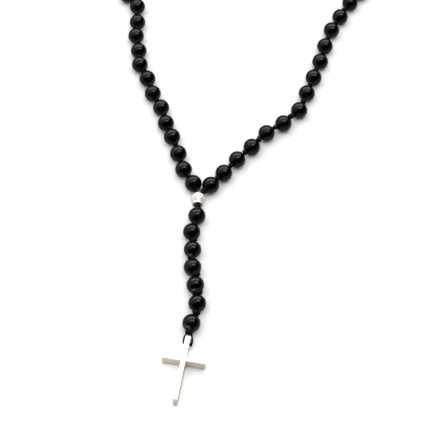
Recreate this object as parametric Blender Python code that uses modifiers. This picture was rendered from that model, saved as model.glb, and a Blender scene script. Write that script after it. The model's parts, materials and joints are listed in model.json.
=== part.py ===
"""A knotted rosary of black beads, lying on a table.

The bead strand runs away along +Y from a silver centre bead and closes in a loop.
A seven-bead tail runs along -Y to a square-barred cross. The table is z = 0.
"""

import math

import bmesh
import bpy
from mathutils import Matrix, Vector

MM = 0.001

# Driving dimensions, in millimetres.
BEAD_DIAMETER = 8.4
BEAD_BORE = 1.8
CORD_DIAMETER = 1.0
FACE_GAP = 0.3
KNOT_STUB = 0.6

CENTRE_DIAMETER = 7.0
CENTRE_LENGTH = 6.2
CENTRE_BORE = 2.9
CENTRE_RIM = 0.45
CENTRE_COLLAR = 0.45
CENTRE_LEAN = math.radians(1.5)

CROSS_LENGTH = 32.4
CROSS_SPAN = 20.0
CROSS_BAR = 2.4
CROSS_DEPTH = 6.0
CROSSBAR_FROM_TOP = 11.7
CROSS_HOLE = 1.7
CROSS_HOLE_FROM_TOP = 2.6
CROSS_TURN = math.radians(-10.0)

# How finely the round pieces are turned.
BEAD_SIDES = 12
BEAD_ARC_STEPS = 6
CENTRE_SIDES = 24
CENTRE_ARC_STEPS = 3
HOLE_SIDES = 16

# The silver bead's place in the frame, whose origin is under the middle of the rosary.
JUNCTION = Vector((-24.45, -39.4, 0.0))

# Where the beads lie, in millimetres from the silver bead, going outwards. The right run
# goes on round the back and comes down to the last bead of the left run.
LEFT_ROUTE = [
    (-2.4, 9.0), (-7.4, 17.6), (-10.2, 27.5), (-13.6, 38.2), (-16.9, 47.0), (-19.6, 57.2),
    (-24.2, 66.7), (-27.3, 76.8), (-31.6, 86.5), (-32.5, 96.1), (-34.3, 106.8), (-33.9, 116.7),
    (-34.4, 128.3), (-40.3, 137.0),
]
RIGHT_ROUTE = [
    (6.25, 8.0), (12.8, 15.4), (19.5, 23.7), (27.0, 31.7), (34.7, 40.5), (43.5, 46.9),
    (51.9, 55.5), (56.3, 66.8), (60.3, 77.5), (64.3, 88.6), (67.3, 99.4), (71.4, 110.9),
    (76.6, 120.6), (82.6, 130.7), (88.7, 139.0), (94.2, 148.0), (94.2, 158.5), (88.2, 167.0),
    (79.7, 173.5), (70.2, 178.0), (60.2, 181.0), (49.7, 183.5), (39.2, 184.5), (28.7, 185.5),
    (18.2, 185.5), (7.7, 185.0), (-2.8, 183.5), (-13.3, 181.5), (-23.3, 178.0), (-32.3, 173.5),
    (-40.3, 166.5), (-45.3, 157.0), (-44.8, 146.5),
]
TAIL_ROUTE = [
    (-0.5, -10.5), (-2.9, -19.9), (-2.4, -30.0), (-2.3, -40.0), (-0.9, -49.8), (0.1, -59.8),
    (-2.5, -70.4),
]
LAST_KNOT = (-3.0, -75.7)
CROSS_TOP = (-3.8, -78.1)

# The hanging loop's right half: (sideways, up along the bar, height), from knot to hole.
LOOP_ROUTE = [
    (0.7, 2.0, 4.0), (1.5, 1.6, 3.9), (2.1, 0.7, 3.7), (2.35, -0.4, 3.4), (2.3, -1.5, 3.1),
    (1.9, -2.4, 3.0), (1.3, -2.6, 3.0), (0.7, -2.6, 3.0),
]

FINISHES = {
    "onyx": ((0.012, 0.012, 0.014), 0.12, 0.0),
    "silver": ((0.86, 0.84, 0.81), 0.18, 1.0),
    "cord": ((0.015, 0.015, 0.017), 0.75, 0.0),
}


def clear_scene():
    for obj in list(bpy.data.objects):
        bpy.data.objects.remove(obj, do_unlink=True)


def new_collection(name):
    group = bpy.data.collections.new(name)
    bpy.context.scene.collection.children.link(group)
    return group


def paint(obj, finish):
    color, roughness, metallic = FINISHES[finish]
    material = bpy.data.materials.new(f"{obj.name}_{finish}")
    material.use_nodes = True
    shader = material.node_tree.nodes["Principled BSDF"]
    shader.inputs["Base Color"].default_value = (*color, 1.0)
    shader.inputs["Roughness"].default_value = roughness
    shader.inputs["Metallic"].default_value = metallic
    obj.data.materials.append(material)


def add_piece(name, data, finish, group):
    obj = bpy.data.objects.new(name, data)
    group.objects.link(obj)
    paint(obj, finish)
    return obj


def flat(point, z=0.0):
    """A point of the routes as a place in the frame, in metres."""
    return (JUNCTION + Vector((point[0], point[1], z))) * MM


def arc_profile(radius, bore_radius, steps):
    """The outside of a ball from its upper bore edge to its lower one."""
    edge = math.asin(bore_radius / radius)
    points = []
    for i in range(steps + 1):
        angle = edge + (math.pi - 2 * edge) * i / steps
        points.append((radius * math.sin(angle), radius * math.cos(angle)))
    return points


def barrel_profile():
    """A centre bead's outside: a round belly with a short collar round the bore at each end."""
    half, belly = CENTRE_LENGTH / 2, CENTRE_DIAMETER / 2
    bore, neck = CENTRE_BORE / 2, half - CENTRE_COLLAR
    collar = bore + CENTRE_RIM
    upper = [(bore, half), (collar, half), (collar, neck)]
    start = math.acos(neck / belly)
    for i in range(CENTRE_ARC_STEPS):
        angle = start + (math.pi / 2 - start) * i / CENTRE_ARC_STEPS
        upper.append((belly * math.sin(angle), belly * math.cos(angle)))
    lower = [(r, -z) for r, z in reversed(upper)]
    return upper + [(belly, 0.0)] + lower


def turned(name, profile, sides, finish, group):
    """A closed profile (radius, height) in millimetres, turned about local Z."""
    count = len(profile)
    mesh = bpy.data.meshes.new(name)
    verts = [(r * MM, 0.0, z * MM) for r, z in profile]
    mesh.from_pydata(verts, [(i, (i + 1) % count) for i in range(count)], [])
    obj = add_piece(name, mesh, finish, group)
    screw = obj.modifiers.new("turn", "SCREW")
    screw.axis = "Z"
    screw.angle = 2 * math.pi
    screw.steps = sides
    screw.render_steps = sides
    screw.use_merge_vertices = True
    screw.merge_threshold = 1e-6
    screw.use_smooth_shade = True
    return obj


def along(direction):
    """Turns local Z to a level direction and local X straight up."""
    axis = direction.normalized()
    up = Vector((0.0, 0.0, 1.0))
    side = axis.cross(up)
    return Matrix((up, side, axis)).transposed().to_quaternion()


def add_pivot(name, place, parent, group):
    """An empty on a joint's axis. Its parent is the pivot that it swings with."""
    pivot = bpy.data.objects.new(name, None)
    pivot.empty_display_size = 2 * MM
    group.objects.link(pivot)
    pivot.location = place - world_place(parent)
    pivot.parent = parent
    return pivot


def world_place(obj):
    place = Vector()
    while obj:
        place += obj.location
        obj = obj.parent
    return place


def knot_places(route, first, height):
    """Halfway points between neighbouring beads, after the first knot."""
    beads = [flat(p, height) for p in route]
    return [first] + [(a + b) / 2 for a, b in zip(beads, beads[1:])]


def strand(label, route, first_knot, root, group):
    """Beads on their knots. Each bead hangs on the knot before it.

    Returns the last pivot and the places where a cord enters and leaves each bead.
    """
    radius = BEAD_DIAMETER / 2
    knots = knot_places(route, first_knot, radius)
    parent, mouths = root, []
    for i, point in enumerate(route):
        centre = flat(point, radius)
        after = knots[i + 1] if i + 1 < len(knots) else 2 * centre - knots[i]
        parent = add_pivot(f"{label}_knot_{i + 1:02d}", knots[i], parent, group)
        profile = arc_profile(radius, BEAD_BORE / 2, BEAD_ARC_STEPS)
        bead = turned(f"{label}_bead_{i + 1:02d}", profile, BEAD_SIDES, "onyx", group)
        bead.rotation_mode = "QUATERNION"
        bead.rotation_quaternion = along(after - knots[i])
        bead.location = centre - knots[i]
        bead.parent = parent
        reach = (after - knots[i]).normalized() * radius * MM
        mouths += [centre - reach, centre + reach]
    return parent, mouths


def cord_tube(name, points, group):
    """A plain round cord through the given points, in metres."""
    curve = bpy.data.curves.new(name, "CURVE")
    curve.dimensions = "3D"
    curve.bevel_depth = CORD_DIAMETER / 2 * MM
    curve.bevel_resolution = 2
    curve.use_fill_caps = True
    spline = curve.splines.new("POLY")
    spline.points.add(len(points) - 1)
    for node, point in zip(spline.points, points):
        node.co = (*point, 1.0)
    return add_piece(name, curve, "cord", group)


def through_beads(start, mouths):
    """A cord's route from its start, straight through each bead, to a short stub."""
    onward = (mouths[-1] - mouths[-2]).normalized()
    return start + mouths + [mouths[-1] + onward * KNOT_STUB * MM]


def smooth_through(points, steps):
    """Places read from a smooth curve through the route's points."""
    line = []
    last = len(points) - 1
    for i in range(last):
        a, b = points[max(i - 1, 0)], points[i]
        c, d = points[i + 1], points[min(i + 2, last)]
        for k in range(steps):
            t = k / steps
            line.append(
                0.5 * (2 * b + (c - a) * t + (2 * a - 5 * b + 4 * c - d) * t * t
                       + (3 * b - a - 3 * c + d) * t ** 3)
            )
    return line + [points[last]]


def box(name, size, centre):
    mesh = bpy.data.meshes.new(name)
    bm = bmesh.new()
    bmesh.ops.create_cube(bm, size=1.0)
    bmesh.ops.scale(bm, vec=size, verts=bm.verts)
    bmesh.ops.translate(bm, vec=centre, verts=bm.verts)
    bm.to_mesh(mesh)
    bm.free()
    return bpy.data.objects.new(name, mesh)


def guide(obj, parent, cutters):
    """Hides a shape that only cuts or joins, and puts it where the piece is."""
    cutters.objects.link(obj)
    obj.parent = parent
    obj.hide_render = True
    obj.display_type = "WIRE"
    return obj


def make_cross(pivot, hole_height, group, cutters):
    """Two square bars joined as one, with a hole through the upright for the cord.

    Local X runs along the crossbar and local Y up the upright; the pivot is in the hole.
    """
    top = CROSS_HOLE_FROM_TOP * MM
    middle_z = (CROSS_DEPTH / 2 - hole_height) * MM
    upright = box(
        "cross",
        (CROSS_BAR * MM, CROSS_LENGTH * MM, CROSS_DEPTH * MM),
        (0.0, top - CROSS_LENGTH / 2 * MM, middle_z),
    )
    group.objects.link(upright)
    paint(upright, "silver")
    upright.parent = pivot

    arms = box(
        "crossbar_shape",
        (CROSS_SPAN * MM, CROSS_BAR * MM, CROSS_DEPTH * MM),
        (0.0, top - CROSSBAR_FROM_TOP * MM, middle_z),
    )
    guide(arms, pivot, cutters)

    mesh = bpy.data.meshes.new("cord_hole_cutter")
    bm = bmesh.new()
    bmesh.ops.create_cone(
        bm, cap_ends=True, segments=HOLE_SIDES, radius1=CROSS_HOLE / 2 * MM,
        radius2=CROSS_HOLE / 2 * MM, depth=2 * CROSS_BAR * MM,
        matrix=Matrix.Rotation(math.pi / 2, 4, "Y"),
    )
    bm.to_mesh(mesh)
    bm.free()
    drill = guide(bpy.data.objects.new("cord_hole_cutter", mesh), pivot, cutters)

    for label, operation, tool in (("arms", "UNION", arms), ("hole", "DIFFERENCE", drill)):
        cut = upright.modifiers.new(label, "BOOLEAN")
        cut.operation = operation
        cut.solver = "EXACT"
        cut.object = tool
    return upright


def make_centre_bead(root, axis, group):
    """The pierced silver bead that joins the loop to the tail; its root is its own centre."""
    bead = turned("silver_centre_bead", barrel_profile(), CENTRE_SIDES, "silver", group)
    bead.rotation_mode = "QUATERNION"
    bead.rotation_quaternion = along(axis)
    bead.parent = root


def build():
    clear_scene()
    group = new_collection("rosary")
    cutters = new_collection("cutters")

    lift = BEAD_DIAMETER / 2
    centre = flat((0.0, 0.0), CENTRE_DIAMETER / 2)
    root = bpy.data.objects.new("rosary_root", None)
    group.objects.link(root)
    root.location = centre

    axis = Vector((math.sin(CENTRE_LEAN), math.cos(CENTRE_LEAN), 0.0))
    side = Vector((axis.y, -axis.x, 0.0))
    make_centre_bead(root, axis, group)

    # The first knot of each run is midway between the silver bead and the first bead.
    hub = flat((0.0, 0.0), lift)
    reach = (CENTRE_LENGTH / 2 - lift) * MM
    runs = {}
    for label, route in (("left", LEFT_ROUTE), ("right", RIGHT_ROUTE), ("tail", TAIL_ROUTE)):
        way = flat(route[0], lift) - hub
        first_knot = hub + way.normalized() * (way.length + reach) / 2
        runs[label] = strand(label, route, first_knot, root, group)

    # Two cords lie side by side in the top of the silver bead.
    inside, outside = CENTRE_LENGTH / 2 - 1.5, CENTRE_LENGTH / 2 + 0.2
    for label, sign in (("left", -1), ("right", 1)):
        beside = sign * side * (CORD_DIAMETER + FACE_GAP) / 2
        start = [centre + (axis * inside + beside) * MM, centre + (axis * outside + beside) * MM]
        strung = through_beads(start, runs[label][1])
        cord_tube(f"{label}_cord", strung, group)

    # The tail's cord starts under them and ends at the knot above the cross.
    tail_pivot, mouths = runs["tail"]
    start = [centre + axis * (inside - 2 * FACE_GAP) * MM, centre - axis * outside * MM]
    cord_tube("tail_cord", through_beads(start, mouths), group)

    # The hanging loop goes through the cross from side to side and back to the knot.
    turn = Matrix.Rotation(CROSS_TURN, 4, "Z")
    top = flat(CROSS_TOP)
    half = [Vector(p) for p in LOOP_ROUTE]
    across = half + [Vector((-p.x, p.y, p.z)) for p in reversed(half)]
    loop = [top + turn @ (p * MM) for p in smooth_through(across, 2)]
    cord_tube("cross_loop_cord", loop, group)

    loop_pivot = add_pivot("cross_loop_knot", flat(LAST_KNOT, lift), tail_pivot, group)
    hole_height = LOOP_ROUTE[-1][2]
    hole = top + turn @ Vector((0.0, -CROSS_HOLE_FROM_TOP, hole_height)) * MM
    hole_pivot = add_pivot("cross_hole_axis", hole, loop_pivot, group)
    hole_pivot.rotation_euler.z = CROSS_TURN
    make_cross(hole_pivot, hole_height, group, cutters)


build()
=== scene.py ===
import json
import math
import random

import bmesh
import bpy
from mathutils import Matrix, Quaternion, Vector


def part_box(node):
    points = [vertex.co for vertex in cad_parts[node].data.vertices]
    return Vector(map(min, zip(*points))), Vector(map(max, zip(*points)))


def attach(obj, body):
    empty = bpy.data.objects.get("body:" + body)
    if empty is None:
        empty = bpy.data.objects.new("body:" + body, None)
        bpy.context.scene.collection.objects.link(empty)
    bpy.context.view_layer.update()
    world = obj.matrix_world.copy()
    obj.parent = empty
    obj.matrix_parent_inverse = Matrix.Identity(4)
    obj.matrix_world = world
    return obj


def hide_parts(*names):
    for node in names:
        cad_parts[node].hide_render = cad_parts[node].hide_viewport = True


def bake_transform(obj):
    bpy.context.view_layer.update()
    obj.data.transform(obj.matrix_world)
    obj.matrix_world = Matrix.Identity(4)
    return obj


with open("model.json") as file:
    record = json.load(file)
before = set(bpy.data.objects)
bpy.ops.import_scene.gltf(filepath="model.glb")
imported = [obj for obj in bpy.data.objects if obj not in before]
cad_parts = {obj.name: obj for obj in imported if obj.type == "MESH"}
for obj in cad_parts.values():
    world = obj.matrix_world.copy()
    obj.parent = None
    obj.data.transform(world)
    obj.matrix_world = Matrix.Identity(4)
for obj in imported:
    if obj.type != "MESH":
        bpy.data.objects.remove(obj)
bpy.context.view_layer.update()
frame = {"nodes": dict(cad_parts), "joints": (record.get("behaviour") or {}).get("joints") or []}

mm = 0.001
up = Vector((0.0, 0.0, 1.0))
print("frame loaded")

knotPlace = {joint["name"]: Vector(joint["pos_m"]) for joint in frame["joints"]}
swingAxis = Vector(next(j["axis"] for j in frame["joints"] if j["name"] == "cross_swing"))


def middleOf(node):
    low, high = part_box(node)
    return (low + high) / 2


def beadNames(run):
    return sorted(name for name in frame["nodes"] if name.startswith(run + "_bead_"))


# Each bead of a run with its middle, the way that its bore points and the knot before it.
def layOut(run):
    rows = []
    names = beadNames(run)
    for index, name in enumerate(names):
        middle = middleOf(name)
        before = knotPlace[f"{run}_knot_{index + 1:02d}"]
        after = 2 * middle - before
        if index + 1 < len(names):
            after = knotPlace[f"{run}_knot_{index + 2:02d}"]
        rows.append({"name": name, "middle": middle, "way": (after - before).normalized(), "knot": before})
    return rows


runs = {run: layOut(run) for run in ("left", "right", "tail")}


def deselectAll():
    if bpy.context.object and bpy.context.object.mode != "OBJECT":
        bpy.ops.object.mode_set(mode="OBJECT")
    bpy.ops.object.select_all(action="DESELECT")


def makeActive(obj):
    deselectAll()
    obj.select_set(True)
    bpy.context.view_layer.objects.active = obj


def openMesh(obj, kind="FACE"):
    makeActive(obj)
    bpy.ops.object.mode_set(mode="EDIT")
    bpy.ops.mesh.select_mode(type=kind)
    bpy.ops.mesh.select_all(action="DESELECT")


def closeMesh():
    bpy.ops.object.mode_set(mode="OBJECT")


# Selects the faces whose middle and normal the test accepts.
def pickFaces(obj, wanted):
    shape = bmesh.from_edit_mesh(obj.data)
    for face in shape.faces:
        face.select_set(wanted(face.calc_center_median(), face.normal))
    bmesh.update_edit_mesh(obj.data)


# Selects the edges whose two ends the test accepts.
def pickEdges(obj, wanted):
    shape = bmesh.from_edit_mesh(obj.data)
    for edge in shape.edges:
        edge.select_set(wanted(edge.verts[0].co, edge.verts[1].co))
    bmesh.update_edit_mesh(obj.data)


def applyAll(obj):
    makeActive(obj)
    for step in list(obj.modifiers):
        bpy.ops.object.modifier_apply(modifier=step.name)


def smoothShade(obj, degrees=35):
    makeActive(obj)
    bpy.ops.object.shade_smooth_by_angle(angle=math.radians(degrees))


def faceOutwards(obj):
    openMesh(obj)
    bpy.ops.mesh.select_all(action="SELECT")
    bpy.ops.mesh.remove_doubles(threshold=1e-7)
    bpy.ops.mesh.normals_make_consistent(inside=False)
    closeMesh()


# Moves the mesh to its place and leaves the object at the origin.
def settle(obj, place):
    obj.data.transform(place)
    obj.matrix_world = Matrix.Identity(4)


def copyOf(model, name):
    piece = bpy.data.objects.new(name, model.data.copy())
    bpy.context.scene.collection.objects.link(piece)
    return piece


# Local Z along a level way and local X up, turned about the way, at a middle.
def standing(way, middle, turn=0.0):
    side = way.cross(up).normalized()
    lift = side.cross(way)
    basis = Matrix((lift, side, way)).transposed().to_4x4()
    return Matrix.Translation(middle) @ basis @ Matrix.Rotation(turn, 4, "Z")


def newMaterial(name):
    material = bpy.data.materials.new(name)
    material.use_nodes = True
    return material, material.node_tree, material.node_tree.nodes["Principled BSDF"]


def addNode(tree, kind, **settings):
    node = tree.nodes.new(kind)
    for name, value in settings.items():
        setattr(node, name, value)
    return node


def noiseOn(tree, coordinates, scale, detail=4.0, roughness=0.55, stretch=(1, 1, 1)):
    mapping = addNode(tree, "ShaderNodeMapping")
    mapping.inputs["Scale"].default_value = stretch
    tree.links.new(coordinates, mapping.inputs["Vector"])
    noise = addNode(tree, "ShaderNodeTexNoise")
    noise.inputs["Scale"].default_value = scale
    noise.inputs["Detail"].default_value = detail
    noise.inputs["Roughness"].default_value = roughness
    tree.links.new(mapping.outputs["Vector"], noise.inputs["Vector"])
    return noise.outputs["Fac"]


# Stops are (position, colour) with colour as three numbers or one grey.
def rampOf(tree, value, stops):
    ramp = addNode(tree, "ShaderNodeValToRGB")
    ramp.color_ramp.elements.remove(ramp.color_ramp.elements[1])
    for index, (position, colour) in enumerate(stops):
        colour = (colour,) * 3 if isinstance(colour, (int, float)) else colour
        stop = ramp.color_ramp.elements[0] if index == 0 else ramp.color_ramp.elements.new(position)
        stop.position = position
        stop.color = (*colour, 1.0)
    tree.links.new(value, ramp.inputs["Fac"])
    return ramp.outputs["Color"]


def bumpFrom(tree, height, strength, distance, below=None):
    bump = addNode(tree, "ShaderNodeBump")
    bump.inputs["Strength"].default_value = strength
    bump.inputs["Distance"].default_value = distance
    tree.links.new(height, bump.inputs["Height"])
    if below:
        tree.links.new(below, bump.inputs["Normal"])
    return bump.outputs["Normal"]


onyxLook = {
    "deep": (0.0006, 0.0006, 0.0008),
    "cloud": (0.0022, 0.0021, 0.0025),
    "cloudScale": 160.0,
    "polish": (0.07, 0.13),
    "waveScale": 420.0,
    "pitScale": 2600.0,
    "gloss": 0.2,
}


def polishedOnyx():
    look = onyxLook
    material, tree, shader = newMaterial("polishedOnyx")
    place = addNode(tree, "ShaderNodeTexCoord").outputs["Object"]
    clouds = noiseOn(tree, place, look["cloudScale"], detail=5.0)
    colour = rampOf(tree, clouds, [(0.35, look["deep"]), (0.75, look["cloud"])])
    tree.links.new(colour, shader.inputs["Base Color"])
    rub = noiseOn(tree, place, look["cloudScale"] * 4, detail=6.0, roughness=0.7)
    low, high = look["polish"]
    tree.links.new(rampOf(tree, rub, [(0.3, low), (0.75, high)]), shader.inputs["Roughness"])
    ripple = noiseOn(tree, place, look["waveScale"], detail=2.0)
    grain = noiseOn(tree, place, look["pitScale"], detail=3.0)
    soft = bumpFrom(tree, ripple, 0.05, 0.0002)
    tree.links.new(bumpFrom(tree, grain, 0.02, 0.00005, soft), shader.inputs["Normal"])
    shader.inputs["Specular IOR Level"].default_value = look["gloss"]
    return material


boreLook = {"dark": 0.012, "pale": 0.035, "gritScale": 5200.0, "roughness": 0.62}


# The matt stone inside a drilled hole.
def groundOnyx():
    look = boreLook
    material, tree, shader = newMaterial("groundOnyx")
    place = addNode(tree, "ShaderNodeTexCoord").outputs["Object"]
    grit = noiseOn(tree, place, look["gritScale"], detail=5.0, roughness=0.7)
    colour = rampOf(tree, grit, [(0.3, look["dark"]), (0.7, look["pale"])])
    tree.links.new(colour, shader.inputs["Base Color"])
    tree.links.new(bumpFrom(tree, grit, 0.35, 0.00006), shader.inputs["Normal"])
    shader.inputs["Roughness"].default_value = look["roughness"]
    return material


steelLook = {"bright": (0.97, 0.90, 0.785), "worn": (0.86, 0.79, 0.69), "metal": 1.0}
satinLook = {"bright": (1.0, 0.97, 0.90), "worn": (0.92, 0.87, 0.79), "metal": 0.5}
silverGrain = {"lineScale": 5200.0, "patchScale": 260.0, "drawnOut": 0.06}
tarnishLook = {
    "dark": (0.055, 0.05, 0.045),
    "pale": 0.16,
    "spotScale": 2400.0,
    "roughness": 0.45,
    "metal": 0.8,
}


# Metal with fine drawn lines along one axis of the piece.
def brushedSilver(name, look, along, smoothness):
    material, tree, shader = newMaterial(name)
    place = addNode(tree, "ShaderNodeTexCoord").outputs["Object"]
    stretch = tuple(silverGrain["drawnOut"] if axis == along else 1.0 for axis in "XYZ")
    lines = noiseOn(tree, place, silverGrain["lineScale"], detail=4.0, roughness=0.6, stretch=stretch)
    patches = noiseOn(tree, place, silverGrain["patchScale"], detail=5.0, roughness=0.65)
    colour = rampOf(tree, patches, [(0.25, look["worn"]), (0.62, look["bright"])])
    tree.links.new(colour, shader.inputs["Base Color"])
    low, high = smoothness
    tree.links.new(rampOf(tree, lines, [(0.25, low), (0.8, high)]), shader.inputs["Roughness"])
    soft = bumpFrom(tree, patches, 0.05, 0.0002)
    tree.links.new(bumpFrom(tree, lines, 0.10, 0.00003, soft), shader.inputs["Normal"])
    shader.inputs["Metallic"].default_value = look["metal"]
    return material


# Metal left dark in the cuts, where no polish reaches.
def darkSilver():
    look = tarnishLook
    material, tree, shader = newMaterial("darkSilver")
    place = addNode(tree, "ShaderNodeTexCoord").outputs["Object"]
    spots = noiseOn(tree, place, look["spotScale"], detail=5.0)
    colour = rampOf(tree, spots, [(0.3, look["dark"]), (0.75, look["pale"])])
    tree.links.new(colour, shader.inputs["Base Color"])
    tree.links.new(bumpFrom(tree, spots, 0.3, 0.00005), shader.inputs["Normal"])
    shader.inputs["Roughness"].default_value = look["roughness"]
    shader.inputs["Metallic"].default_value = look["metal"]
    return material


cordLook = {
    "dye": (0.0014, 0.0014, 0.0016),
    "dust": (0.010, 0.010, 0.010),
    "fibreScale": 3600.0,
    "fadeScale": 1500.0,
    "roughness": 0.5,
    "gloss": 0.14,
}


def waxedCord():
    look = cordLook
    material, tree, shader = newMaterial("waxedCord")
    place = addNode(tree, "ShaderNodeTexCoord").outputs["Object"]
    fibres = noiseOn(tree, place, look["fibreScale"], detail=4.0, roughness=0.7)
    fade = noiseOn(tree, place, look["fadeScale"], detail=4.0)
    colour = rampOf(tree, fade, [(0.45, look["dye"]), (0.8, look["dust"])])
    tree.links.new(colour, shader.inputs["Base Color"])
    tree.links.new(bumpFrom(tree, fibres, 0.8, 0.00012), shader.inputs["Normal"])
    shader.inputs["Roughness"].default_value = look["roughness"]
    shader.inputs["Specular IOR Level"].default_value = look["gloss"]
    return material


onyx = polishedOnyx()
boreOnyx = groundOnyx()
cordBlack = waxedCord()
silverTurned = brushedSilver("satinSilver", satinLook, "Z", (0.52, 0.68))
silverDrawn = brushedSilver("drawnSilver", steelLook, "Y", (0.20, 0.32))
silverDark = darkSilver()
print("finishes mixed")


beadShape = {
    "radius": 4.3 * mm,
    "sides": 48,
    "rings": 28,
    "boreRings": 2,        # rings left out at each pole for the drilled hole
    "mouthRound": 0.11 * mm,
    "seed": 7,
    "unevenness": 0.008,
}


def modelBead():
    shape = beadShape
    deselectAll()
    bpy.ops.mesh.primitive_uv_sphere_add(
        segments=shape["sides"], ring_count=shape["rings"], radius=shape["radius"], location=(0, 0, 0)
    )
    bead = bpy.context.object
    bead.name = "beadModel"
    edgeAngle = math.pi * shape["boreRings"] / shape["rings"]
    mouthHeight = shape["radius"] * math.cos(edgeAngle)
    boreRadius = shape["radius"] * math.sin(edgeAngle)

    openMesh(bead)
    pickFaces(bead, lambda middle, normal: abs(middle.z) > mouthHeight)
    bpy.ops.mesh.delete(type="FACE")
    bpy.ops.mesh.select_mode(type="EDGE")
    bpy.ops.mesh.select_all(action="DESELECT")
    pickEdges(bead, lambda a, b: abs(abs(a.z) - mouthHeight) < 1e-6 and abs(a.z - b.z) < 1e-6)
    bpy.ops.mesh.bridge_edge_loops()
    bpy.ops.mesh.select_all(action="DESELECT")
    pickEdges(bead, lambda a, b: abs(abs(a.z) - mouthHeight) < 1e-6 and abs(a.z - b.z) < 1e-6)
    bpy.ops.mesh.bevel(offset=shape["mouthRound"], segments=3, affect="EDGES")
    closeMesh()
    faceOutwards(bead)

    bead.data.materials.append(onyx)
    bead.data.materials.append(boreOnyx)
    for face in bead.data.polygons:
        fromAxis = math.hypot(face.center.x, face.center.y)
        face.material_index = 1 if fromAxis < boreRadius * 1.01 else 0
    smoothShade(bead, 40)
    return bead


def stringBeads():
    model = modelBead()
    rng = random.Random(beadShape["seed"])
    for run, rows in runs.items():
        for row in rows:
            bead = copyOf(model, row["name"] + "_stone")
            uneven = [1 - rng.random() * beadShape["unevenness"] for axis in range(3)]
            middle = Vector((row["middle"].x, row["middle"].y, beadShape["radius"]))
            place = standing(row["way"], middle, rng.uniform(0, 2 * math.pi))
            settle(bead, place @ Matrix.Diagonal((*uneven, 1.0)))
            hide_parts(row["name"])
            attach(bead, row["name"])
    bpy.data.objects.remove(model, do_unlink=True)
    print("beads strung")


stringBeads()


cordShape = {
    "width": 1.05 * mm,
    "tailWidth": 0.85 * mm,
    "plies": 3,
    "plyDepth": 0.30,
    "lay": 2.6 * mm,          # length of one full twist
    "profilePoints": 15,
    "mouth": 4.35 * mm,       # from a bead's middle to just outside its hole
    "halfway": 0.55,          # share of the mouth's distance that steadies the cord in the bore
    "inside": 0.3 * mm,       # where a link ends in the bore, from the bead's middle
    "smoothing": 4,           # steps of the curve between two points of a route
    "seed": 23,
    "sideBySide": 0.41 * mm,
    "knotWide": (2.8 * mm, 3.2 * mm),
    "knotLift": 0.75 * mm,    # the knots ride up between the beads
    "knotSway": 0.25 * mm,
    "knotDeep": 1.9 * mm,     # the least depth along the strand
    "narrower": 0.08,         # by how much a second strand's windings are narrower
    "closingKnot": (2.5 * mm, 2.1 * mm, 1.1),  # width, depth and turn
}

# The tail's knots in order: shift to the right, lift, width across and depth along the strand, in
# millimetres.
tailKnots = [
    (0.1, -0.5, 3.5, 2.3), (0.2, 0.5, 3.4, 1.9), (0.8, 0.7, 4.0, 1.9), (-0.6, 0.7, 3.8, 1.9),
    (1.0, 1.3, 4.2, 2.7), (0.5, 1.3, 5.2, 2.8), (0.9, 0.8, 3.9, 2.3),
]


# The path of a knot on a cord that runs along Z: up through the middle, round it from the top down,
# and up again inside the windings.
def woundKnot(width, wide, deep):
    ring = (wide - width) / 2
    rise = (deep - width) / 2
    core = min(0.3 * width, 0.5 * ring)
    turns = max(math.floor(2 * rise / (0.85 * width)), 1) + 0.5
    steps = round(turns * 6)
    path = [Vector((-core, 0, -0.4 * rise)), Vector((-core, 0, 0.6 * rise))]
    for step in range(steps + 1):
        angle = math.pi + 2 * math.pi * turns * step / steps
        path.append(Vector((ring * math.cos(angle), ring * math.sin(angle), rise - 2 * rise * step / steps)))
    return path + [Vector((core, 0, -0.5 * rise)), Vector((core, 0, 0.5 * rise))]


def smoothThrough(points, steps):
    line = []
    last = len(points) - 1
    for i in range(last):
        a, b = points[max(i - 1, 0)], points[i]
        c, d = points[i + 1], points[min(i + 2, last)]
        for k in range(steps):
            t = k / steps
            line.append(0.5 * (2 * b + (c - a) * t + (2 * a - 5 * b + 4 * c - d) * t * t
                               + (3 * b - a - 3 * c + d) * t ** 3))
    return line + [points[last]]


# The lobed outline of a laid cord, as a closed curve for the bevel.
def plyProfile(width):
    shape = cordShape
    deselectAll()
    data = bpy.data.curves.new("plyOutline", "CURVE")
    data.dimensions = "2D"
    spline = data.splines.new("POLY")
    count = shape["profilePoints"]
    spline.points.add(count - 1)
    spline.use_cyclic_u = True
    for i, point in enumerate(spline.points):
        angle = 2 * math.pi * i / count
        lobe = abs(math.cos(angle * shape["plies"] / 2))
        radius = width / 2 * (1 - shape["plyDepth"] * (1 - lobe))
        point.co = (radius * math.cos(angle), radius * math.sin(angle), 0.0, 1.0)
    outline = bpy.data.objects.new("plyOutline", data)
    bpy.context.scene.collection.objects.link(outline)
    return outline


# A laid cord through the points, turned into a closed mesh.
def layCord(name, points, outline, twistFrom=0.0):
    data = bpy.data.curves.new(name, "CURVE")
    data.dimensions = "3D"
    data.bevel_mode = "OBJECT"
    data.bevel_object = outline
    data.use_fill_caps = True
    spline = data.splines.new("POLY")
    spline.points.add(len(points) - 1)
    travelled = 0.0
    for i, point in enumerate(points):
        if i:
            travelled += (point - points[i - 1]).length
        spline.points[i].co = (*point, 1.0)
        spline.points[i].tilt = twistFrom + 2 * math.pi * travelled / cordShape["lay"]
    spline.use_smooth = True
    cord = bpy.data.objects.new(name, data)
    bpy.context.scene.collection.objects.link(cord)
    makeActive(cord)
    bpy.ops.object.convert(target="MESH")
    cord = bpy.context.object
    cord.data.materials.clear()
    cord.data.materials.append(cordBlack)
    faceOutwards(cord)
    return cord


def joined(pieces, name):
    deselectAll()
    for piece in pieces:
        piece.select_set(True)
    bpy.context.view_layer.objects.active = pieces[0]
    if len(pieces) > 1:
        bpy.ops.object.join()
    pieces[0].name = name
    return pieces[0]


frayLook = {"pale": (0.34, 0.33, 0.32), "dark": (0.10, 0.10, 0.10), "streakScale": 3000.0, "roughness": 0.8}


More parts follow.
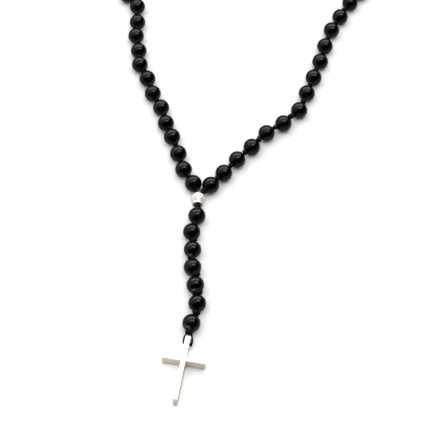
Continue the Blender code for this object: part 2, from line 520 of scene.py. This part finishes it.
# Undyed fibres of the cord's core, bared where it was pulled and cut.
def baredFibre():
    look = frayLook
    material, tree, shader = newMaterial("baredFibre")
    place = addNode(tree, "ShaderNodeTexCoord").outputs["Object"]
    streaks = noiseOn(tree, place, look["streakScale"], detail=4.0)
    colour = rampOf(tree, streaks, [(0.35, look["dark"]), (0.6, look["pale"])])
    tree.links.new(colour, shader.inputs["Base Color"])
    tree.links.new(bumpFrom(tree, streaks, 0.4, 0.00005), shader.inputs["Normal"])
    shader.inputs["Roughness"].default_value = look["roughness"]
    return material


paleFibre = baredFibre()

frayShape = {
    "fibre": 0.20 * mm,
    "length": (0.9 * mm, 1.7 * mm),
    "seed": 5,
    # for each frayed knot: where from its hinge in millimetres, spread, count
    "tail_knot_04": ((-1.2, 0.2, 2.4), 0.5 * mm, 4),
    "tail_knot_06": ((-1.3, 0.3, 3.0), 0.7 * mm, 5),
    "cross_loop_knot": ((-1.0, 1.9, 2.6), 1.1 * mm, 9),
}


# A few bared fibres lying on a knot, as one piece with it.
def frayKnot(link, knotName):
    name = link.name
    place, spread, count = frayShape[knotName]
    middle = knotPlace[knotName] + Vector(place) * mm
    rng = random.Random(frayShape["seed"])
    outline = plyProfile(frayShape["fibre"])
    pieces = [link]
    for number in range(count):
        root = middle + Vector((rng.uniform(-1, 1), rng.uniform(-0.7, 0.7), rng.uniform(-0.3, 0.3))) * spread
        reach = Vector((rng.uniform(-1, 1), rng.uniform(-0.8, 0.8), rng.uniform(-0.1, 0.35))).normalized()
        length = rng.uniform(*frayShape["length"])
        bend = reach.cross(up) * length * rng.uniform(-0.3, 0.3)
        route = [root, root + reach * length / 2 + bend, root + reach * length]
        fibre = layCord("fibre", smoothThrough(route, cordShape["smoothing"]), outline)
        fibre.data.materials[0] = paleFibre
        pieces.append(fibre)
    bpy.data.objects.remove(outline, do_unlink=True)
    return joined(pieces, name)


# A wound knot laid along a way at its middle.
def knotRoute(middle, way, width, wide, deep, turn):
    place = standing(way, middle, turn)
    return [place @ point for point in woundKnot(width, wide, deep)]


# The cord's points in a bead's bore, from its middle out through the mouth on one side.
def boreEnds(row, sign, beside=Vector()):
    reach = sign * row["way"]
    return [row["middle"] + reach * step + beside for step in
            (cordShape["inside"], cordShape["mouth"] * cordShape["halfway"], cordShape["mouth"])]


# Where a knot sits and how big it is: (middle, width across, depth along the strand).
def knotOf(run, index, gap, rng):
    row = runs[run][index]
    right = up.cross(row["way"])
    if run == "tail":
        shift, lift, wide, deep = (size * mm for size in tailKnots[index])
    else:
        shift = rng.uniform(-1, 1) * cordShape["knotSway"]
        lift = cordShape["knotLift"]
        wide = rng.uniform(*cordShape["knotWide"])
        deep = max(gap + 0.1 * mm, cordShape["knotDeep"])
    return row["knot"] + right * shift + up * lift, wide, deep


# One link for each knot of a run, from the bead before it to the bead after it.
def tieRun(run, width, strands, hub):
    rng = random.Random(cordShape["seed"] + len(runs[run]))
    outline = plyProfile(width)
    for index, row in enumerate(runs[run]):
        before = runs[run][index - 1] if index else None
        mouthBefore = before["middle"] + before["way"] * beadShape["radius"] if before else hub[-1]
        mouthAfter = row["middle"] - row["way"] * beadShape["radius"]
        middle, wide, deep = knotOf(run, index, (mouthAfter - mouthBefore).length, rng)
        way = (mouthAfter - mouthBefore).normalized()
        spin = rng.uniform(0, 2 * math.pi)
        strandsOfLink = []
        for strand in range(strands):
            shift = (strand - (strands - 1) / 2) * 2 * cordShape["sideBySide"]
            finishBeside = row["way"].cross(up) * shift
            finish = boreEnds(row, -1, finishBeside)[::-1]
            if before:
                start = boreEnds(before, 1, before["way"].cross(up) * shift)
            else:
                start = [point + finishBeside for point in hub]
            wound = wide * (1 - cordShape["narrower"] * strand)
            knot = knotRoute(middle, way, width, wound, deep, spin + strand * math.pi)
            route = smoothThrough(start + knot + finish, cordShape["smoothing"])
            strandsOfLink.append(layCord("strand", route, outline, rng.uniform(0, 6)))
        link = joined(strandsOfLink, f"{run}_link_{index + 1:02d}")
        if f"{run}_knot_{index + 1:02d}" in frayShape:
            link = frayKnot(link, f"{run}_knot_{index + 1:02d}")
        smoothShade(link, 50)
        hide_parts(run + "_cord")
        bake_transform(link)
    bpy.data.objects.remove(outline, do_unlink=True)
    print(run, "cord knotted")


centreMiddle = middleOf("silver_centre_bead")
centreWay = centreMiddle - runs["tail"][0]["middle"]
centreWay.z = 0.0
centreWay.normalize()
centreSide = centreWay.cross(up)

# The cords inside the silver bead, out to its mouths: (along the bead, sideways) in millimetres.
hubExit = {
    "left": [(1.0, -0.5), (3.3, -0.6)],
    "right": [(1.0, 0.5), (3.3, 0.6)],
    "tail": [(-1.0, 0.0), (-3.2, 0.0)],
}


def hubPoints(run):
    return [centreMiddle + centreWay * along * mm + centreSide * beside * mm
            for along, beside in hubExit[run]]


tieRun("left", cordShape["width"], 1, hubPoints("left"))
tieRun("right", cordShape["width"], 1, hubPoints("right"))
tieRun("tail", cordShape["tailWidth"], 2, hubPoints("tail"))


holeFromTop = 2.6 * mm
crossTurn = Quaternion((0.0, 0.0, 1.0), math.atan2(-swingAxis.y, -swingAxis.x))
holeMiddle = knotPlace["cross_swing"]
lastKnot = knotPlace["cross_loop_knot"]
crossTop = holeMiddle + crossTurn @ Vector((0.0, holeFromTop, 0.0))
crossTop.z = 0.0

loopShape = {
    "width": 0.98 * mm,
    # (sideways, up along the bar, height) from the bar's top, in millimetres: over the knot's left,
    # down beside the bar, through the hole and up the right side
    "route": [
        (-0.5, 1.9, 4.4), (-1.3, 1.5, 4.2), (-1.9, 0.6, 3.8), (-2.05, -0.6, 3.4), (-2.0, -1.7, 3.1),
        (-1.7, -2.4, 3.0), (-1.1, -2.6, 3.0), (0.0, -2.6, 3.0), (1.1, -2.6, 3.0), (1.6, -2.5, 3.0),
        (1.78, -1.8, 3.2), (1.78, -0.6, 3.5), (1.7, 0.6, 3.9), (1.25, 1.5, 4.2), (0.5, 1.9, 4.4),
    ],
    # the cut end, down the outside of the right strand
    "cutEnd": [
        (0.7, 1.6, 5.0), (1.5, 0.8, 4.7), (1.95, -0.4, 4.3), (2.1, -1.6, 3.8), (1.98, -2.6, 3.3),
        (1.8, -3.4, 2.7),
    ],
    "lastKnot": (-0.35, 0.5, 0.8, 4.0, 3.3),  # right, back and up from the hinge, then width and depth
    "lastTurn": 0.8,
    "narrower": 0.1,
}


def onCross(points):
    return [crossTop + crossTurn @ (Vector(point) * mm) for point in points]


def tieLoop():
    outline = plyProfile(loopShape["width"])
    steps = cordShape["smoothing"]
    loop = layCord("strand", smoothThrough(onCross(loopShape["route"]), steps), outline)
    cutEnd = layCord("strand", smoothThrough(onCross(loopShape["cutEnd"]), steps), outline, 1.0)
    loop = joined([loop, cutEnd], "hangingLoop")
    smoothShade(loop, 50)
    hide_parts("cross_loop_cord")
    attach(loop, "cross_loop")
    bpy.data.objects.remove(outline, do_unlink=True)


# The knot over the cross, where the two tail strands close the loop.
def tieLastKnot():
    width = cordShape["tailWidth"]
    outline = plyProfile(width)
    last = runs["tail"][-1]
    right, back, lift, wide, deep = (size * mm for size in loopShape["lastKnot"])
    middle = lastKnot + Vector((right, back, lift))
    strandsOfLink = []
    for strand, sign in enumerate((-1, 1)):
        start = boreEnds(last, 1, last["way"].cross(up) * sign * cordShape["sideBySide"])
        end = onCross([loopShape["route"][strand - 1]])
        wound = wide * (1 - loopShape["narrower"] * strand)
        turn = loopShape["lastTurn"] + strand * math.pi
        knot = knotRoute(middle, last["way"], width, wound, deep, turn)
        route = smoothThrough(start + knot + end, cordShape["smoothing"])
        strandsOfLink.append(layCord("strand", route, outline, strand))
    link = frayKnot(joined(strandsOfLink, "last_knot"), "cross_loop_knot")
    smoothShade(link, 50)
    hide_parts("tail_cord")
    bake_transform(link)
    bpy.data.objects.remove(outline, do_unlink=True)


# The knot that joins the ends of the two loop runs. It stays with the left run.
def tieClosingKnot():
    width = cordShape["width"]
    outline = plyProfile(width)
    left, right = runs["left"][-1], runs["right"][-1]
    middle = (left["middle"] + right["middle"]) / 2
    way = (right["middle"] - left["middle"]).normalized()
    wide, deep, turn = cordShape["closingKnot"]
    knot = knotRoute(middle + up * cordShape["knotLift"], way, width, wide, deep, turn)
    steps = cordShape["smoothing"]
    piece = layCord("closing_knot", smoothThrough(boreEnds(left, 1) + knot, steps), outline)
    stub = layCord("right_cord_end", smoothThrough(boreEnds(right, 1), steps), outline)
    for end, row in ((piece, left), (stub, right)):
        smoothShade(end, 50)
        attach(end, row["name"])
    bpy.data.objects.remove(outline, do_unlink=True)


tieLoop()
tieLastKnot()
tieClosingKnot()
print("loop and last knots tied")


centreShape = {
    "sides": 48,
    # (radius, height) in millimetres: from the bore at the loop's end down the outside to the belly, then
    # on to the wider collar at the tail's end and back into the bore
    "loopEnd": [
        (1.42, 2.92), (1.48, 3.05), (1.60, 3.10), (1.76, 3.10), (1.87, 3.04), (1.90, 2.92), (1.86, 2.80),
        (1.96, 2.72), (2.30, 2.56), (2.62, 2.28), (2.90, 1.93), (3.14, 1.52), (3.32, 1.06), (3.44, 0.54),
        (3.48, 0.0),
    ],
    "tailEnd": [
        (3.44, -0.54), (3.32, -1.06), (3.16, -1.55), (2.96, -2.02), (2.76, -2.42), (2.60, -2.70),
        (2.58, -2.86), (2.68, -2.98), (2.75, -3.14), (2.75, -3.34), (2.67, -3.48), (2.49, -3.56),
        (2.27, -3.52), (2.14, -3.38), (2.08, -3.00), (1.90, -2.50), (1.50, -2.15), (1.42, -1.80),
    ],
    "cutDepth": 0.18 * mm,
    "cutEdge": 0.02 * mm,
    "cutBelt": 2.3 * mm,      # no cuts further than this from the middle, nor on faces nearer the
    "cutFrom": 2.5 * mm,      # bore than this
    "cutRow": 0.75 * mm,
    "cutEvery": 7,
    "turn": 0.25,
}


def modelCentreBead():
    shape = centreShape
    profile = shape["loopEnd"] + shape["tailEnd"]
    deselectAll()
    bpy.ops.mesh.primitive_circle_add(
        vertices=shape["sides"], radius=profile[0][0] * mm, location=(0, 0, profile[0][1] * mm)
    )
    bead = bpy.context.object
    bead.name = "silver_centre_drum"
    bpy.ops.object.transform_apply(location=True, rotation=True, scale=True)
    openMesh(bead, "EDGE")
    bpy.ops.mesh.select_all(action="SELECT")
    for (radius, height), (newRadius, newHeight) in zip(profile, profile[1:] + profile[:1]):
        bpy.ops.mesh.extrude_edges_move(
            TRANSFORM_OT_translate={"value": (0, 0, (newHeight - height) * mm)}
        )
        grow = newRadius / radius
        bpy.ops.transform.resize(value=(grow, grow, 1), center_override=(0, 0, newHeight * mm))
    closeMesh()
    faceOutwards(bead)
    return bead


# Slanting rows of small cuts round the belly, left dark inside.
def cutCentreBead(bead):
    shape = centreShape
    step = 2 * math.pi / shape["sides"]

    def isCut(middle, normal):
        if math.hypot(middle.x, middle.y) < shape["cutFrom"] or abs(middle.z) > shape["cutBelt"]:
            return False
        column = int(math.floor(math.atan2(middle.y, middle.x) / step))
        row = int(round(middle.z / shape["cutRow"]))
        return (column + row) % shape["cutEvery"] == 0

    openMesh(bead)
    pickFaces(bead, isCut)
    bpy.ops.mesh.inset(thickness=shape["cutEdge"], depth=-shape["cutDepth"], use_individual=False)
    shapeNow = bmesh.from_edit_mesh(bead.data)
    for face in shapeNow.faces:
        face.material_index = 1 if face.select else 0
    bmesh.update_edit_mesh(bead.data)
    closeMesh()


def makeCentreBead():
    bead = modelCentreBead()
    bead.data.materials.append(silverTurned)
    bead.data.materials.append(silverDark)
    cutCentreBead(bead)
    settle(bead, standing(centreWay, centreMiddle, centreShape["turn"]))
    smoothShade(bead, 30)
    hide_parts("silver_centre_bead")
    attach(bead, "silver_centre")


makeCentreBead()
print("centre bead turned and cut")


crossShape = {
    "length": 32.4 * mm,
    "span": 20.0 * mm,
    "bar": 2.3 * mm,
    "depth": 6.0 * mm,
    "barFromTop": 11.7 * mm,
    "holeRadius": 0.85 * mm,
    "edgeRound": 0.16 * mm,
}


def makeCross():
    shape = crossShape
    halfBar = shape["bar"] / 2
    barHeight = -shape["barFromTop"]
    deselectAll()
    bpy.ops.mesh.primitive_cube_add(size=1, location=(0, -shape["length"] / 2, shape["depth"] / 2))
    cross = bpy.context.object
    cross.name = "cross_bars"
    cross.scale = (shape["bar"], shape["length"], shape["depth"])
    bpy.ops.object.transform_apply(location=True, rotation=True, scale=True)

    # Cut the upright across above and below the crossbar, then draw the arms out of its sides.
    openMesh(cross)
    for edge in (barHeight + halfBar, barHeight - halfBar):
        bpy.ops.mesh.select_all(action="SELECT")
        bpy.ops.mesh.bisect(plane_co=(0, edge, 0), plane_no=(0, 1, 0))
    for sign in (-1, 1):
        pickFaces(cross, lambda middle, normal:
                  normal.x * sign > 0.9 and abs(middle.y - barHeight) < halfBar)
        reach = sign * (shape["span"] - shape["bar"]) / 2
        bpy.ops.mesh.extrude_region_move(TRANSFORM_OT_translate={"value": (reach, 0, 0)})
    closeMesh()

    rounding = cross.modifiers.new("softEdges", "BEVEL")
    rounding.width = shape["edgeRound"]
    rounding.segments = 3
    rounding.limit_method = "ANGLE"
    applyAll(cross)

    bpy.ops.mesh.primitive_cylinder_add(
        vertices=32, radius=shape["holeRadius"], depth=3 * shape["bar"],
        location=(0, -holeFromTop, holeMiddle.z), rotation=(0, math.pi / 2, 0),
    )
    drill = bpy.context.object
    hole = cross.modifiers.new("cordHole", "BOOLEAN")
    hole.object = drill
    applyAll(cross)
    bpy.data.objects.remove(drill, do_unlink=True)
    faceOutwards(cross)

    cross.data.materials.clear()
    cross.data.materials.append(silverDrawn)
    place = Matrix.Translation(crossTop) @ crossTurn.to_matrix().to_4x4()
    settle(cross, place)
    makeActive(cross)
    bpy.ops.object.shade_smooth()
    cross.modifiers.new("flatFaces", "WEIGHTED_NORMAL")
    applyAll(cross)
    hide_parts("cross")
    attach(cross, "cross")


makeCross()
print("cross cut")


studio = {
    "floorSize": 6.0,
    "floorColour": 0.92,
    "floorWhiter": 1.75,
    "fade": (0.35, 0.8),      # metres from the rosary's middle
    "lookAt": (-15.32 * mm, -47.40 * mm, 0.0),
    "distance": 631.9 * mm,
    "elevation": 56.0,
    "lens": 106.6,
}


# The table shows whiter than it lights the rosary, as on a bleached sweep.
def makeFloor():
    deselectAll()
    bpy.ops.mesh.primitive_plane_add(size=studio["floorSize"], location=(0, 0, 0))
    floor = bpy.context.object
    floor.name = "floor"
    material, tree, shader = newMaterial("paleTable")
    place = addNode(tree, "ShaderNodeTexCoord").outputs["Object"]
    tint = noiseOn(tree, place, 3.0, detail=2.0)
    low, high = studio["floorColour"] * 0.985, studio["floorColour"]
    colour = rampOf(tree, tint, [(0.3, low), (0.7, high)])
    tree.links.new(colour, shader.inputs["Base Color"])
    shader.inputs["Roughness"].default_value = 0.9
    shader.inputs["Specular IOR Level"].default_value = 0.0
    whiter = addNode(tree, "ShaderNodeVectorMath", operation="SCALE")
    whiter.inputs["Scale"].default_value = studio["floorWhiter"]
    tree.links.new(colour, whiter.inputs[0])
    bleached = addNode(tree, "ShaderNodeBsdfDiffuse")
    tree.links.new(whiter.outputs["Vector"], bleached.inputs["Color"])

    # Far from the rosary the table runs into the white wall.
    reach = addNode(tree, "ShaderNodeVectorMath", operation="LENGTH")
    tree.links.new(place, reach.inputs[0])
    near, far = studio["fade"]
    fade = rampOf(tree, reach.outputs["Value"], [(near, 0.0), (far, 1.0)])
    wall = addNode(tree, "ShaderNodeEmission")
    sweep = addNode(tree, "ShaderNodeMixShader")
    tree.links.new(fade, sweep.inputs["Fac"])
    tree.links.new(bleached.outputs["BSDF"], sweep.inputs[1])
    tree.links.new(wall.outputs["Emission"], sweep.inputs[2])
    mix = addNode(tree, "ShaderNodeMixShader")
    tree.links.new(addNode(tree, "ShaderNodeLightPath").outputs["Is Camera Ray"], mix.inputs["Fac"])
    tree.links.new(shader.outputs["BSDF"], mix.inputs[1])
    tree.links.new(sweep.outputs["Shader"], mix.inputs[2])
    tree.links.new(mix.outputs["Shader"], tree.nodes["Material Output"].inputs["Surface"])
    floor.data.materials.append(material)


# A soft panel in a direction (azimuth from +Y, elevation), facing the rosary, turned about its middle.
def softbox(name, direction, distance, size, radiance, turn=0, glossy=True, diffuse=True):
    azimuth, elevation = map(math.radians, direction)
    away = Vector((math.sin(azimuth) * math.cos(elevation), math.cos(azimuth) * math.cos(elevation),
                   math.sin(elevation)))
    width, height = size
    data = bpy.data.lights.new(name, "AREA")
    data.shape = "RECTANGLE"
    data.size = width
    data.size_y = height
    data.energy = radiance * width * height * math.pi
    panel = bpy.data.objects.new(name, data)
    bpy.context.scene.collection.objects.link(panel)
    panel.location = away * distance
    facing = away.to_track_quat("Z", "Y") @ Quaternion((0, 0, 1), math.radians(turn))
    panel.rotation_euler = facing.to_euler()
    panel.visible_camera = False
    panel.visible_glossy = glossy
    panel.visible_diffuse = diffuse


def lightStudio():
    softbox("tableLight", (0, 84), 1.6, (3.0, 2.4), 1.4, glossy=False)
    softbox("ceilingPanel", (-20, 86), 1.6, (3.2, 1.2), 1.5, diffuse=False)
    softbox("leftPanel", (-90, 20), 1.6, (1.6, 0.9), 1.0)
    softbox("backPanel", (-12, 45), 1.5, (3.2, 1.15), 2.4, diffuse=False)
    softbox("stripPanel", (0, 47), 1.35, (2.2, 0.36), 4.2, diffuse=False)
    softbox("lampPanel", (101, 77), 1.1, (0.62, 0.24), 8.0, turn=86, diffuse=False)


# A dim room for the reflections, seen by the camera as a pale wall behind the table.
def paintRoom():
    world = bpy.data.worlds.new("room")
    bpy.context.scene.world = world
    world.use_nodes = True
    tree = world.node_tree
    dim = tree.nodes["Background"]
    dim.inputs["Color"].default_value = (0.9, 0.92, 0.95, 1.0)
    dim.inputs["Strength"].default_value = 0.05
    wall = addNode(tree, "ShaderNodeBackground")
    wall.inputs["Color"].default_value = (1.0, 1.0, 1.0, 1.0)
    wall.inputs["Strength"].default_value = 1.0
    mix = addNode(tree, "ShaderNodeMixShader")
    tree.links.new(addNode(tree, "ShaderNodeLightPath").outputs["Is Camera Ray"], mix.inputs["Fac"])
    tree.links.new(dim.outputs["Background"], mix.inputs[1])
    tree.links.new(wall.outputs["Background"], mix.inputs[2])
    tree.links.new(mix.outputs["Shader"], tree.nodes["World Output"].inputs["Surface"])


def placeCamera():
    target = Vector(studio["lookAt"])
    elevation = math.radians(studio["elevation"])
    back = Vector((0.0, -math.cos(elevation), math.sin(elevation)))
    data = bpy.data.cameras.new("camera")
    data.lens = studio["lens"]
    data.sensor_width = 36.0
    data.clip_start = 0.05
    data.clip_end = 20.0
    camera = bpy.data.objects.new("camera", data)
    bpy.context.scene.collection.objects.link(camera)
    camera.location = target + back * studio["distance"]
    camera.rotation_euler = back.to_track_quat("Z", "Y").to_euler()
    bpy.context.scene.camera = camera


makeFloor()
lightStudio()
paintRoom()
placeCamera()
bpy.context.scene.view_settings.view_transform = "Standard"
print("studio set")
